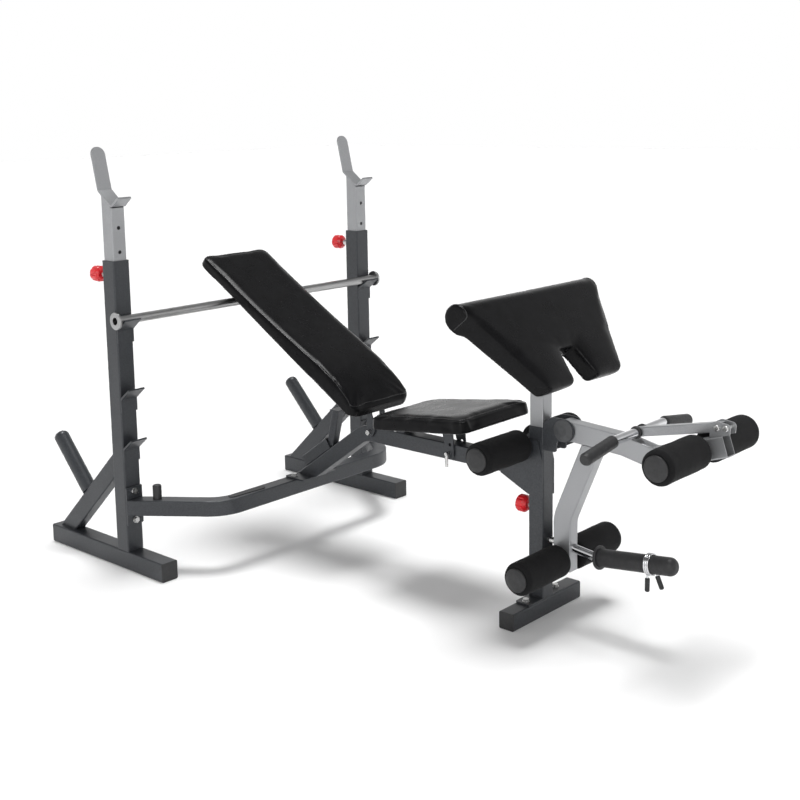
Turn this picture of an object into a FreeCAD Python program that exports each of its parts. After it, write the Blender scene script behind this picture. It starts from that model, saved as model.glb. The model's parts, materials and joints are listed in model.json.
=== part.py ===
import FreeCAD, Part

import math
import os

import Sketcher
from FreeCAD import Placement, Rotation, Vector

# An Olympic weight bench: a two-post rack, a bench with an inclined backrest and a seat, a preacher
# (arm curl) pad on a sliding post, and a leg lever that also carries a curl bar and a plate horn.
# +X runs from the rack to the leg lever, +Z is up, and Y = 0 is the plane of symmetry. The origin is on
# the floor under the middle of the whole machine. "right" is -Y, the side of a lifter's right hand.

doc = FreeCAD.newDocument("olympic_bench_press")
sheet = doc.addObject("Spreadsheet::Sheet", "Sizes")


class Dim:
    """A number together with the sheet expression that it comes from."""

    def __init__(self, value, text):
        self.value = float(value)
        self.text = text

    def __add__(self, other):
        other = as_dim(other)
        return Dim(self.value + other.value, f"({self.text} + {other.text})")

    def __sub__(self, other):
        other = as_dim(other)
        return Dim(self.value - other.value, f"({self.text} - {other.text})")

    def __mul__(self, other):
        other = as_dim(other)
        return Dim(self.value * other.value, f"({self.text} * {other.text})")

    def __truediv__(self, other):
        other = as_dim(other)
        return Dim(self.value / other.value, f"({self.text} / {other.text})")

    def __neg__(self):
        return Dim(-self.value, f"(0 - {self.text})")

    def __radd__(self, other):
        return as_dim(other) + self

    def __rsub__(self, other):
        return as_dim(other) - self

    def __rmul__(self, other):
        return as_dim(other) * self


def as_dim(number):
    return number if isinstance(number, Dim) else Dim(number, f"{float(number):g}")


def sin(angle):
    angle = as_dim(angle)
    return Dim(math.sin(math.radians(angle.value)), f"sin({angle.text})")


def cos(angle):
    angle = as_dim(angle)
    return Dim(math.cos(math.radians(angle.value)), f"cos({angle.text})")


def size(alias, value):
    """Adds a named size to the sheet: millimetres, or degrees where the name says lean, tilt or turn."""
    row = size.row = size.row + 1
    sheet.set(f"A{row}", alias)
    sheet.set(f"B{row}", str(value))
    sheet.setAlias(f"B{row}", alias)
    return Dim(value, f"{sheet.Name}.{alias}")


size.row = 0

# ---- driving dimensions ------------------------------------------------------------------------------

rack_x = size("rack_x", -698.5)
rack_y = size("rack_y", 540)
tube = size("tube", 60)
tube_wall = size("tube_wall", 2.5)
tube_corner = size("tube_corner", 5)
foot_rear = size("foot_rear", 400)
foot_front = size("foot_front", 200)
cap = size("cap", 3)
cap_plug = size("cap_plug", 15)
upright_top = size("upright_top", 990)
brace_lean = size("brace_lean", 46.6)
brace_top = size("brace_top", 347)
brace_y = size("brace_y", 532)
brace_width = size("brace_width", 40)
peg_station = size("peg_station", 236)
peg_reach = size("peg_reach", 232)
plate_radius = size("plate_radius", 25)

strap = size("strap", 4)
lip_run = size("lip_run", 43)
lip_rise = size("lip_rise", 33)
lip_leg = size("lip_leg", 45)
hook_top = size("hook_top", 779)
hook_mid = size("hook_mid", 560)
hook_low = size("hook_low", 399)

post_tube = size("post_tube", 50)
post_wall = size("post_wall", 2)
post_corner = size("post_corner", 4)
hook_post_foot = size("hook_post_foot", 700)
saddle_rear = size("saddle_rear", 1207)
saddle_front = size("saddle_front", 1160)
saddle_back = size("saddle_back", 36)
horn_top = size("horn_top", 1337)
horn_back = size("horn_back", 66)
saddle_lip_x = size("saddle_lip_x", 60)
saddle_lip_z = size("saddle_lip_z", 1187)
saddle_strap = size("saddle_strap", 6)
knob_height = size("knob_height", 941)
hole_pitch = size("hole_pitch", 75)
hole_radius = size("hole_radius", 6)
pin_radius = size("pin_radius", 5)

bar_radius = size("bar_radius", 14)
bar_half = size("bar_half", 585)
bar_flange = size("bar_flange", 27.5)
bar_flange_width = size("bar_flange_width", 8)
skin_gap = size("skin_gap", 0.3)

cross_z = size("cross_z", 207)
cross_x = size("cross_x", 265)
cross_turn = size("cross_turn", 37)
cross_bend = size("cross_bend", 110)
bolt_plate = size("bolt_plate", 6)
bolt_plate_height = size("bolt_plate_height", 124)
bolt_pitch = size("bolt_pitch", 94)
bolt_radius = size("bolt_radius", 5)
stop_peg_station = size("stop_peg_station", 74)

beam_z = size("beam_z", 425)
leg_tilt = size("leg_tilt", 35.5)
beam_bend = size("beam_bend", 90)
leg_base_x = size("leg_base_x", 288)
leg_base_plate = size("leg_base_plate", 5)

post_x = size("post_x", 1217)
post_top = size("post_top", 553)
front_foot_half = size("front_foot_half", 164)
post_knob_z = size("post_knob_z", 313)
curl_tube = size("curl_tube", 45)

pivot_x = size("pivot_x", 1310)
pivot_z = size("pivot_z", 556)
ear = size("ear", 5)
ear_radius = size("ear_radius", 33)
pivot_radius = size("pivot_radius", 8)
lever_width = size("lever_width", 40)
lever_depth = size("lever_depth", 56)

axle_radius = size("axle_radius", 12.5)
foam_radius = size("foam_radius", 46.5)
foam_end = size("foam_end", 39)
foam_inner = size("foam_inner", 31)
foam_outer = size("foam_outer", 229)
hold_x = size("hold_x", 1168)
hold_z = size("hold_z", 493)
lower_x = size("lower_x", 1300)
lower_z = size("lower_z", 185)
forward_x = size("forward_x", 1716)
forward_z = size("forward_z", 572)

hinge_x = size("hinge_x", 585)
hinge_z = size("hinge_z", 433)
back_tilt = size("back_tilt", 32.2)
back_low = size("back_low", 15)
back_high = size("back_high", 844)
back_under = size("back_under", 61)
back_pad = size("back_pad", 50)
back_half = size("back_half", 150)

seat_hinge_x = size("seat_hinge_x", 705)
seat_hinge_z = size("seat_hinge_z", 466)
seat_tilt = size("seat_tilt", 7.5)
seat_length = size("seat_length", 392)
seat_half = size("seat_half", 176)
seat_pad = size("seat_pad", 44)
seat_lock_x = size("seat_lock_x", 906)
seat_lock_z = size("seat_lock_z", 422)

curl_x = size("curl_x", 1160)
curl_z = size("curl_z", 897)
curl_tilt = size("curl_tilt", 48)
curl_roll = size("curl_roll", 38)
curl_half = size("curl_half", 318)

clevis_x = size("clevis_x", 1762)
clevis_z = size("clevis_z", 637)
curl_arm_tube = size("curl_arm_tube", 25)
curl_arm_reach = size("curl_arm_reach", 236)
curl_arm_tilt = size("curl_arm_tilt", 12.3)
curl_bar_radius = size("curl_bar_radius", 12.5)
grip_droop = size("grip_droop", 8.6)

clevis_second = (24, 2)

horn_x = size("horn_x", 1410)
horn_z = size("horn_z", 210)
horn_tilt = size("horn_tilt", 7)
horn_length = size("horn_length", 230)

cross_bottom = cross_z - post_tube / 2
half_tube = tube / 2
half_post = post_tube / 2


# ---- building blocks ---------------------------------------------------------------------------------

UP = Vector(0, 0, 1)
ALONG_X = Vector(1, 0, 0)
ALONG_Y = Vector(0, 1, 0)
nodes = {}


def bind(obj, path, value):
    """Sets a size and ties it to the sheet."""
    value = as_dim(value)
    if sheet.Name in value.text:
        obj.setExpression(path, value.text)
    elif not path.startswith("Placement"):
        setattr(obj, path, value.value)


def place(obj, x=0, y=0, z=0, axis=UP, turn=0):
    """Puts an object at x (from the rack's centre line), y, z, turned about one axis."""
    x, y, z, turn = rack_x + x, as_dim(y), as_dim(z), as_dim(turn)
    obj.Placement = Placement(Vector(x.value, y.value, z.value), Rotation(axis, turn.value))
    for path, value in (("Base.x", x), ("Base.y", y), ("Base.z", z), ("Rotation.Angle", turn)):
        bind(obj, f"Placement.{path}", value)
    return obj


def keep(name, obj):
    """Marks an object as a finished sub-part."""
    obj.Label = name
    nodes[name] = obj
    return obj


def body(name):
    return doc.addObject("PartDesign::Body", name)


def sketch_on(owner, plane, name):
    sketch = owner.newObject("Sketcher::SketchObject", name)
    origin_plane = next(f for f in owner.Origin.OriginFeatures if f.Role == plane + "_Plane")
    sketch.AttachmentSupport = [(origin_plane, "")]
    sketch.MapMode = "FlatFace"
    return sketch


def fix(sketch, kind, refs, value):
    value = as_dim(value)
    index = sketch.addConstraint(Sketcher.Constraint(kind, *refs, value.value))
    if sheet.Name in value.text:
        sketch.setExpression(f"Constraints[{index}]", value.text)


def outline(sketch, points, closed=True):
    """Draws straight sides between points (x, y) or (x, y, corner radius), with tangent corner arcs."""
    corners = [tuple(as_dim(c) for c in p) for p in points]
    count = len(corners)
    spots = [Vector(c[0].value, c[1].value, 0) for c in corners]
    sides = count if closed else count - 1
    trims = []
    for i, corner in enumerate(corners):
        inner = closed or 0 < i < count - 1
        if len(corner) < 3 or not inner:
            trims.append(0.0)
            continue
        before = (spots[i - 1] - spots[i]).normalize()
        after = (spots[(i + 1) % count] - spots[i]).normalize()
        trims.append(corner[2].value / math.tan(before.getAngle(after) / 2))
    lines = []
    for i in range(sides):
        j = (i + 1) % count
        along = (spots[j] - spots[i]).normalize()
        start = spots[i] + along * trims[i]
        end = spots[j] - along * trims[j]
        lines.append(sketch.addGeometry(Part.LineSegment(start, end)))
    for i, corner in enumerate(corners):
        if not closed and i in (0, count - 1):
            line, end = (lines[0], 1) if i == 0 else (lines[-1], 2)
            fix(sketch, "DistanceX", (-1, 1, line, end), corner[0])
            fix(sketch, "DistanceY", (-1, 1, line, end), corner[1])
            continue
        incoming, outgoing = lines[i - 1], lines[i]
        if len(corner) < 3:
            sketch.addConstraint(Sketcher.Constraint("Coincident", incoming, 2, outgoing, 1))
            fix(sketch, "DistanceX", (-1, 1, outgoing, 1), corner[0])
            fix(sketch, "DistanceY", (-1, 1, outgoing, 1), corner[1])
            continue
        before = (spots[i - 1] - spots[i]).normalize()
        after = (spots[(i + 1) % count] - spots[i]).normalize()
        first = spots[i] + before * trims[i]
        second = spots[i] + after * trims[i]
        radius = corner[2].value
        middle = (before + after).normalize()
        centre = spots[i] + middle * (radius / math.sin(before.getAngle(after) / 2))
        arc = Part.Arc(first, centre - middle * radius, second)
        curve = sketch.addGeometry(arc)
        left_turn = (before.cross(after)).z < 0
        begin, finish = (1, 2) if left_turn else (2, 1)
        point = sketch.addGeometry(Part.Point(spots[i]), True)
        fix(sketch, "DistanceX", (-1, 1, point, 1), corner[0])
        fix(sketch, "DistanceY", (-1, 1, point, 1), corner[1])
        sketch.addConstraint(Sketcher.Constraint("Tangent", incoming, 2, curve, begin))
        sketch.addConstraint(Sketcher.Constraint("Tangent", curve, finish, outgoing, 1))
        sketch.addConstraint(Sketcher.Constraint("PointOnObject", point, 1, incoming))
        sketch.addConstraint(Sketcher.Constraint("PointOnObject", point, 1, outgoing))
        fix(sketch, "Radius", (curve,), corner[2])


def circle(sketch, x, y, radius):
    x, y, radius = as_dim(x), as_dim(y), as_dim(radius)
    centre = Vector(x.value, y.value, 0)
    curve = sketch.addGeometry(Part.Circle(centre, UP, radius.value))
    fix(sketch, "DistanceX", (-1, 1, curve, 3), x)
    fix(sketch, "DistanceY", (-1, 1, curve, 3), y)
    fix(sketch, "Radius", (curve,), radius)


def rectangle(sketch, width, depth, corner):
    """A rectangle with rounded corners, centred on the sketch's origin."""
    x, y = as_dim(width) / 2, as_dim(depth) / 2
    outline(sketch, [(-x, -y, corner), (x, -y, corner), (x, y, corner), (-x, y, corner)])


def section(sketch, width, depth, wall, corner):
    """The cross-section of a rectangular steel tube."""
    rectangle(sketch, width, depth, corner)
    rectangle(sketch, width - 2 * wall, depth - 2 * wall, corner - wall)


def pad(owner, sketch, length, centred=True):
    feature = owner.newObject("PartDesign::Pad", owner.Name + "_pad")
    feature.Profile = sketch
    feature.SideType = "Symmetric" if centred else "One side"
    bind(feature, "Length", length)
    return feature


def slab(name, plane, points, thickness, holes=(), centred=True):
    """A flat piece: an outline with round holes, given a thickness."""
    owner = body(name)
    sketch = sketch_on(owner, plane, name + "_outline")
    outline(sketch, points)
    for x, y, radius in holes:
        circle(sketch, x, y, radius)
    pad(owner, sketch, thickness, centred)
    return owner


def straight_tube(name, width, depth, wall, corner, length):
    """A rectangular tube that rises from the origin along its own Z axis."""
    owner = body(name)
    sketch = sketch_on(owner, "XY", name + "_section")
    section(sketch, width, depth, wall, corner)
    pad(owner, sketch, length, centred=False)
    return owner


def bent_tube(name, plane, runs, bend, draw):
    """A bent tube that leaves the origin along its own X axis. Runs are (length, turn before it)."""
    owner = body(name)
    route = sketch_on(owner, plane, name + "_route")
    x, y, heading = as_dim(0), as_dim(0), as_dim(0)
    points = [(x, y)]
    for length, turn in runs:
        heading = heading + turn
        x = x + length * cos(heading)
        y = y + length * sin(heading)
        points.append((x, y, bend))
    outline(route, points, closed=False)
    profile = sketch_on(owner, "YZ", name + "_section")
    draw(profile)
    pipe = owner.newObject("PartDesign::AdditivePipe", name + "_pipe")
    pipe.Profile = profile
    pipe.Spine = (route, [])
    return owner


def turned(name, points):
    """A turned piece: an outline of (radius, height) spun about its own Z axis."""
    owner = body(name)
    sketch = sketch_on(owner, "XZ", name + "_outline")
    outline(sketch, points)
    spin = owner.newObject("PartDesign::Revolution", name + "_spin")
    spin.Profile = sketch
    spin.ReferenceAxis = (sketch, ["V_Axis"])
    spin.Angle = 360
    return owner


def cylinder(name, radius, length):
    rod = doc.addObject("Part::Cylinder", name)
    bind(rod, "Radius", radius)
    bind(rod, "Height", length)
    return rod


def block(name, length, width, height):
    box = doc.addObject("Part::Box", name)
    bind(box, "Length", length)
    bind(box, "Width", width)
    bind(box, "Height", height)
    return box


def cut(name, base, *tools):
    for number, tool in enumerate(tools):
        piece = doc.addObject("Part::Cut", f"{name}_{number}")
        piece.Base = base
        piece.Tool = tool
        base = piece
    return base


def fuse(name, *pieces):
    whole = doc.addObject("Part::MultiFuse", name)
    whole.Shapes = list(pieces)
    return whole


def group(name, *pieces):
    """One node of several separate solids."""
    whole = doc.addObject("Part::Compound", name)
    whole.Links = list(pieces)
    return keep(name, whole)


def mirrored(name, source):
    """The +Y twin of a piece on the -Y side."""
    twin = doc.addObject("Part::Mirroring", name)
    twin.Source = source
    twin.Normal = ALONG_Y
    return twin


def pair(name, source):
    return group(name, source, mirrored(name + "_twin", source))


def hex_bolt(name, radius, grip):
    """A bolt along its own +Z: a washer and a hexagon head below zero, and a shank above it."""
    head_height = radius * 1.4
    head = doc.addObject("Part::Prism", name + "_head")
    head.Polygon = 6
    bind(head, "Circumradius", radius * 1.85)
    bind(head, "Height", head_height)
    bind(head, "Placement.Base.z", -(head_height + 1.5))
    head.Placement = Placement(Vector(0, 0, -(head_height.value + 1.5)), Rotation())
    washer = cylinder(name + "_washer", radius * 2.1, 1.5)
    washer.Placement = Placement(Vector(0, 0, -1.5), Rotation())
    shank = cylinder(name + "_shank", radius, grip)
    return fuse(name, head, washer, shank)


# ---- rack: feet, uprights, braces, plate pegs --------------------------------------------------------


def build_rack():
    foot = straight_tube("rack_foot", tube, tube, tube_wall, tube_corner, foot_rear + foot_front - 2 * cap)
    place(foot, cap - foot_rear, -rack_y, half_tube, ALONG_Y, 90)
    pair("rack_feet", foot)

    upright = straight_tube("upright_tube", tube, tube, tube_wall, tube_corner, upright_top - tube)
    place(upright, 0, -rack_y, tube)
    pin_hole = cylinder("upright_pin_hole", pin_radius + 0.5, tube)
    place(pin_hole, -tube, -rack_y, knob_height, ALONG_Y, 90)
    pair("uprights", cut("upright_drilled", upright, pin_hole))

    over = 80
    brace = straight_tube("brace_tube", tube, brace_width, tube_wall, tube_corner, 660)
    start = 560
    place(brace, -half_tube - start * sin(brace_lean), -brace_y, brace_top - start * cos(brace_lean),
          ALONG_Y, brace_lean)
    below = block("brace_floor", 600, tube + 2 * over, 400)
    place(below, -foot_rear - 100, -rack_y - half_tube - over, tube - 400)
    ahead = block("brace_wall", 300, tube + 2 * over, 600)
    place(ahead, -half_tube, -rack_y - half_tube - over, 200)
    pair("rack_braces", cut("brace_mitred", brace, below, ahead))

    peg = turned("plate_peg", [
        (0, 0), (plate_radius, 0), (plate_radius, peg_reach, plate_radius * 0.7), (0, peg_reach)])
    root_x = -half_tube - peg_station * sin(brace_lean)
    root_z = brace_top - peg_station * cos(brace_lean)
    place(peg, root_x - half_tube * cos(brace_lean), -brace_y, root_z + half_tube * sin(brace_lean),
          ALONG_Y, brace_lean - 90)
    pair("storage_pegs", peg)


def build_spotter_hooks():
    """Bent straps welded to the uprights. Each lip and the upright's front face make a V cradle."""
    straps = []
    for number, height in enumerate((hook_top, hook_mid, hook_low)):
        hook = slab(f"spotter_hook_{number}", "XZ", [
            (0, -lip_leg), (strap, -lip_leg), (strap, -strap * 1.2, 3), (lip_run + strap, lip_rise - strap),
            (lip_run, lip_rise), (0, 0)], tube)
        place(hook, half_tube, -rack_y, height)
        straps += [hook, mirrored(f"spotter_hook_twin_{number}", hook)]
    group("spotter_hooks", *straps)


def build_hook_posts():
    """The sliding posts: a drilled square tube with its top cut to the slope of a bent bar saddle."""
    fall = saddle_rear - saddle_front
    bushing = slab("upright_bushing", "XY", [
        (x * (half_tube - tube_wall - 0.1), y * (half_tube - tube_wall - 0.1), 3)
        for x, y in ((-1, -1), (1, -1), (1, 1), (-1, 1))], 60, centred=False)
    bore = straight_block("upright_bushing_bore", post_tube + 0.6, 80)
    place(bushing, 0, -rack_y, upright_top - 60)
    place(bore, -half_post - 0.3, -rack_y - half_post - 0.3, upright_top - 70)
    pin_way = cylinder("upright_bushing_hole", pin_radius + 0.5, tube)
    place(pin_way, -tube, -rack_y, knob_height, ALONG_Y, 90)
    pair("upright_bushings", cut("upright_bushing_bored", bushing, bore, pin_way))

    post = straight_tube("hook_post_tube", post_tube, post_tube, post_wall, post_corner,
                         saddle_rear - hook_post_foot)
    place(post, 0, -rack_y, hook_post_foot)
    holes = []
    for step in range(-2, 3):
        hole = cylinder(f"hook_post_hole_{step + 2}", hole_radius, 2 * tube)
        place(hole, -tube, -rack_y, knob_height + step * hole_pitch, ALONG_Y, 90)
        holes.append(hole)
    slope = slab("hook_post_slope", "XZ", [
        (-saddle_back, 0), (half_post, -fall), (saddle_lip_x + 40, -fall), (saddle_lip_x + 40, 60),
        (-saddle_back, 60)], 2 * tube)
    place(slope, 0, -rack_y, saddle_rear - saddle_strap * 1.3)
    drilled = cut("hook_post_cut", post, *holes, slope)
    keep("hook_post_right", drilled)
    keep("hook_post_left", mirrored("hook_post_left", drilled))

    rear = saddle_strap
    saddle = slab("j_hook_strap", "XZ", [
        (-horn_back, horn_top - saddle_rear), (-saddle_back, 0, 6), (half_post, -fall, 10),
        (saddle_lip_x, saddle_lip_z - saddle_rear),
        (saddle_lip_x + rear * 0.7, saddle_lip_z - saddle_rear - rear * 0.8),
        (half_post + rear * 0.1, -fall - rear * 1.3, 14), (-saddle_back - rear * 0.8, -rear * 0.6, 10),
        (-horn_back - rear, horn_top - saddle_rear)], post_tube)
    rounding = slab("j_hook_ends", "YZ", [
        (y * half_post, z, radius) for y, z, radius in (
            (-1, saddle_front - saddle_rear - 40, 2), (1, saddle_front - saddle_rear - 40, 2),
            (1, horn_top - saddle_rear, half_post - 0.2),
            (-1, horn_top - saddle_rear, half_post - 0.2))], 400)
    place(saddle, 0, -rack_y, saddle_rear)
    place(rounding, 0, -rack_y, saddle_rear)
    hook = doc.addObject("Part::MultiCommon", "j_hook_rounded")
    hook.Shapes = [saddle, rounding]
    keep("j_hook_right", hook)
    keep("j_hook_left", mirrored("j_hook_left", hook))


def straight_block(name, side, height):
    return block(name, side, side, height)


def build_pull_pin(name, x, y, z, housing, stem, knob_length, nose):
    """A spring plunger on a tube's rear face: housing, steel pin and a fluted knob, along -X."""
    collar = turned(name + "_housing_ring", [
        (pin_radius + 0.05, 0), (12, 0), (12, housing * 0.25), (10, housing * 0.3), (10, housing - 1, 1),
        (pin_radius + 0.05, housing)])
    place(collar, x, y, z, ALONG_Y, -90)
    pin = turned(name + "_plunger", [
        (0, -nose), (pin_radius, -nose, 1.5), (pin_radius, housing + stem), (0, housing + stem)])
    place(pin, x, y, z, ALONG_Y, -90)
    lobes = 8
    radius = 25
    blank = turned(name + "_blank", [
        (0, 0), (radius - 9, 0), (radius, 9, 6), (radius, knob_length, 5), (0, knob_length)])
    place(blank, x - housing - stem, y, z, ALONG_Y, -90)
    flutes = []
    for number in range(lobes):
        angle = 360 / lobes * number
        flute = cylinder(f"{name}_flute_{number}", 4, knob_length + 20)
        offset_y = as_dim(y) + (radius + 1) * cos(angle)
        offset_z = as_dim(z) + (radius + 1) * sin(angle)
        place(flute, x - housing - stem + 10, offset_y, offset_z, ALONG_Y, -90)
        flutes.append(flute)
    return collar, pin, cut(name + "_fluted", blank, *flutes)


def build_pull_pins():
    rack_housing, rack_pin, rack_knob = build_pull_pin(
        "rack_pull", -half_tube, -rack_y, knob_height, 34, 7, 38, tube_wall + 2)
    post_housing, post_pin, post_knob = build_pull_pin(
        "post_pull", post_x - half_post, 0, post_knob_z, 12, 5, 32, post_wall + 0.2)
    group("pin_housings", rack_housing, mirrored("rack_housing_twin", rack_housing), post_housing)
    keep("rack_pin_right", rack_pin)
    keep("rack_pin_left", mirrored("rack_pin_left", rack_pin))
    keep("rack_knob_right", rack_knob)
    keep("rack_knob_left", mirrored("rack_knob_left", rack_knob))
    keep("post_pin", post_pin)
    keep("post_knob", post_knob)


def bar_rest():
    """Where the bar lies: it touches the upright's front face and the top hook's lip."""
    reach = math.hypot(lip_run.value, lip_rise.value)
    slope_sin, slope_cos = lip_rise.value / reach, lip_run.value / reach
    gap = bar_radius + skin_gap
    return half_tube + gap, hook_top + gap * ((1 + slope_sin) / slope_cos)


def bar_on_back():
    """The bar's height above the backrest's hinge, square to the backrest."""
    x, z = bar_rest()
    return (x - hinge_x) * sin(back_tilt) + (z - hinge_z) * cos(back_tilt)


def build_support_bar():
    x, z = bar_rest()
    bore = bar_radius - 2
    bar = turned("support_bar_tube", [
        (bore, -bar_half), (bar_radius, -bar_half), (bar_radius, bar_half), (bore, bar_half)])
    flange = turned("support_bar_flange", [
        (bar_radius, bar_half - bar_flange_width), (bar_flange, bar_half - bar_flange_width, 2),
        (bar_flange, bar_half, 2), (bar_radius, bar_half)])
    for piece in (bar, flange):
        place(piece, x, 0, z, ALONG_X, 90)
    group("support_bar", bar, flange, mirrored("support_bar_flange_twin", flange))


# ---- lower frame -------------------------------------------------------------------------------------


def build_crossmember():
    start_x = half_tube + bolt_plate
    lead = 60
    straight = (cross_x - start_x) / cos(cross_turn)
    across = 2 * (rack_y - straight * sin(cross_turn))
    turn = 90 - cross_turn
    arms = straight + lead

    def draw(sketch):
        section(sketch, post_tube, post_tube, post_wall, post_corner)

    tube_body = bent_tube("crossmember_tube", "XY", [(arms, 0), (across, turn), (arms, turn)],
                          cross_bend, draw)
    place(tube_body, start_x - lead * cos(cross_turn), -rack_y - lead * sin(cross_turn), cross_z,
          UP, cross_turn)
    behind = block("crossmember_trim", 300, 4 * rack_y, 200)
    place(behind, start_x - 300, -2 * rack_y, cross_z - 100)
    trimmed = cut("crossmember_cut", tube_body, behind)
    keep("crossmember", trimmed)

    plate = slab("cross_end_plate", "YZ", [
        (y * half_tube, z * bolt_plate_height / 2, 4) for y, z in ((-1, -1), (1, -1), (1, 1), (-1, 1))],
        bolt_plate, centred=False,
        holes=[(0, side * bolt_pitch / 2, bolt_radius + 0.25) for side in (-1, 1)])
    place(plate, half_tube, -rack_y, cross_z + 3)
    base = slab("beam_base_plate", "XY", [
        (x, y * 78, 6) for x, y in ((-26, -1), (60, -1), (60, 1), (-26, 1))],
        leg_base_plate, centred=False, holes=[(0, side * 60, bolt_radius + 0.25) for side in (-1, 1)])
    place(base, cross_x, 0, cross_z + half_post)
    floor_plate = slab("front_foot_plate", "XY", [
        (x * half_post, y * 88, 5) for x, y in ((-1, -1), (1, -1), (1, 1), (-1, 1))],
        leg_base_plate, centred=False, holes=[
            (0, side * 72, bolt_radius + 0.25) for side in (-1, 1)])
    place(floor_plate, post_x, 0, post_tube)
    group("bolt_plates", plate, mirrored("cross_end_plate_twin", plate), base, floor_plate)

    badge = slab("badge_oval", "XY", [
        (x * 72, y * 12, 11.9) for x, y in ((-1, -1), (1, -1), (1, 1), (-1, 1))], 2, centred=False)
    place(badge, cross_x - 2, -268, cross_z + half_post, UP, 87)
    keep("badge_plate", badge)

    bolts = []
    for number, side in enumerate((-1, 1)):
        bolt = hex_bolt(f"cross_bolt_{number}", bolt_radius, bolt_plate)
        place(bolt, half_tube + bolt_plate, -rack_y, cross_z + 3 + side * bolt_pitch / 2, ALONG_Y, -90)
        base_bolt = hex_bolt(f"beam_bolt_{number}", bolt_radius, leg_base_plate)
        place(base_bolt, cross_x, side * 60, cross_z + half_post + leg_base_plate, ALONG_X, 180)
        foot_bolt = hex_bolt(f"foot_bolt_{number}", bolt_radius, leg_base_plate)
        place(foot_bolt, post_x, side * 72, post_tube + leg_base_plate, ALONG_X, 180)
        bolts += [bolt, mirrored(f"cross_bolt_twin_{number}", bolt), base_bolt, foot_bolt]
    reach = lower_x + 1 - lever_depth / 2 - post_x - half_post - 0.5
    stop = turned("lever_stop_bolt", [
        (0, 0), (5, 0), (5, 10), (9, 10), (9, reach, 3), (0, reach)])
    place(stop, post_x + half_post, 0, 225, ALONG_Y, 90)
    group("frame_bolts", *bolts, stop)

    peg = turned("stop_peg", [(0, 0), (14, 0), (14, 46, 5), (0, 46)])
    place(peg, start_x + stop_peg_station * cos(cross_turn), -rack_y + stop_peg_station * sin(cross_turn),
          cross_z + half_post)
    pair("crossmember_pegs", peg)


def build_beam():
    base_z = cross_z + half_post + leg_base_plate
    lead = 80
    slant = (beam_z - base_z) / sin(leg_tilt)
    corner_x = leg_base_x + slant * cos(leg_tilt)
    level = post_x - half_post - corner_x

    def draw(sketch):
        section(sketch, post_tube, post_tube, post_wall, post_corner)

    beam = bent_tube("beam_tube", "XZ", [(slant + lead, 0), (level, -leg_tilt)], beam_bend, draw)
    place(beam, leg_base_x - lead * cos(leg_tilt), 0, base_z - lead * sin(leg_tilt), ALONG_Y, -leg_tilt)
    below = block("beam_trim", 600, 200, 200)
    place(below, leg_base_x - 300, -100, base_z - 200)
    hinge_way = cylinder("beam_hinge_way", pivot_radius, 200)
    place(hinge_way, hinge_x, 100, hinge_z, ALONG_X, 90)
    lock_way = cylinder("beam_lock_way", pin_radius + 0.5, 200)
    place(lock_way, seat_lock_x, 100, seat_lock_z, ALONG_X, 90)
    trimmed = cut("beam_cut", beam, below, hinge_way, lock_way)

    # A short tube on the leg carries the post that the backrest lies on when the bench is flat.
    stub_side = 38
    stub = straight_tube("flat_rest_stub", stub_side, stub_side, post_wall, post_corner, 140)
    seat_on = half_post + stub_side / 2
    along = 80
    stub_x = leg_base_x + along * cos(leg_tilt) - seat_on * sin(leg_tilt)
    stub_z = base_z + along * sin(leg_tilt) + seat_on * cos(leg_tilt)
    place(stub, stub_x - 70 * cos(leg_tilt), 0, stub_z - 70 * sin(leg_tilt), ALONG_Y, 90 - leg_tilt)
    stub_trim = block("flat_rest_trim", 400, 200, 300)
    place(stub_trim, leg_base_x - 300, -100, base_z - 300)
    rest_lean = 14.5
    rest_x = stub_x + 72 * cos(leg_tilt)
    rest_z = stub_z + 50 * sin(leg_tilt)
    rest_top = hinge_z + bar_on_back() + bar_radius - 4
    rest = straight_tube("flat_rest_tube", 28, 28, post_wall, 3, (rest_top - rest_z) / cos(rest_lean) + 8)
    place(rest, rest_x, 0, rest_z, ALONG_Y, rest_lean)
    envelope_side = stub_side + 0.1
    envelope = block("flat_rest_stub_envelope", envelope_side, envelope_side, 140)
    place(envelope, stub_x - 70 * cos(leg_tilt) - envelope_side / 2 * sin(leg_tilt), -envelope_side / 2,
          stub_z - 70 * sin(leg_tilt) + envelope_side / 2 * cos(leg_tilt), ALONG_Y, 90 - leg_tilt)
    level_top = block("flat_rest_level", 200, 200, 100)
    place(level_top, rest_x - 50, -100, rest_top)
    saddle = slab("flat_rest_saddle", "XZ", [(-20, 0, 1), (20, 0, 1), (20, 4, 1), (-20, 4, 1)], 40)
    place(saddle, rest_x + (rest_top - rest_z) * sin(rest_lean) / cos(rest_lean), 0, rest_top)
    lug = slab("seat_hinge_lug", "XZ", [
        (-16, 0), (16, 0), (16, 26, 12), (-16, 26, 12)], 5,
        holes=[(0, seat_hinge_z - beam_z - half_post, pivot_radius)])
    place(lug, seat_hinge_x, -19, beam_z + half_post)
    group("main_beam", trimmed, cut("flat_rest_stub_cut", stub, stub_trim), lug,
          mirrored("seat_hinge_lug_twin", lug))
    group("flat_rest_post", cut("flat_rest_levelled", rest, level_top, envelope, trimmed), saddle)

    front = post_x + half_post
    gusset = slab("post_gusset", "XZ", [
        (hold_x - 72, beam_z - half_post), (post_x - half_post, 355), (front, 352), (front, 452),
        (front - 16, 515, 6), (hold_x - 16, 515, 14), (hold_x - 40, beam_z + half_post + 2, 10),
        (hold_x - 72, beam_z + half_post)], 4,
        holes=[(hold_x, hold_z, axle_radius)])
    place(gusset, 0, -half_post - 2)
    pair("post_gussets", gusset)


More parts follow.
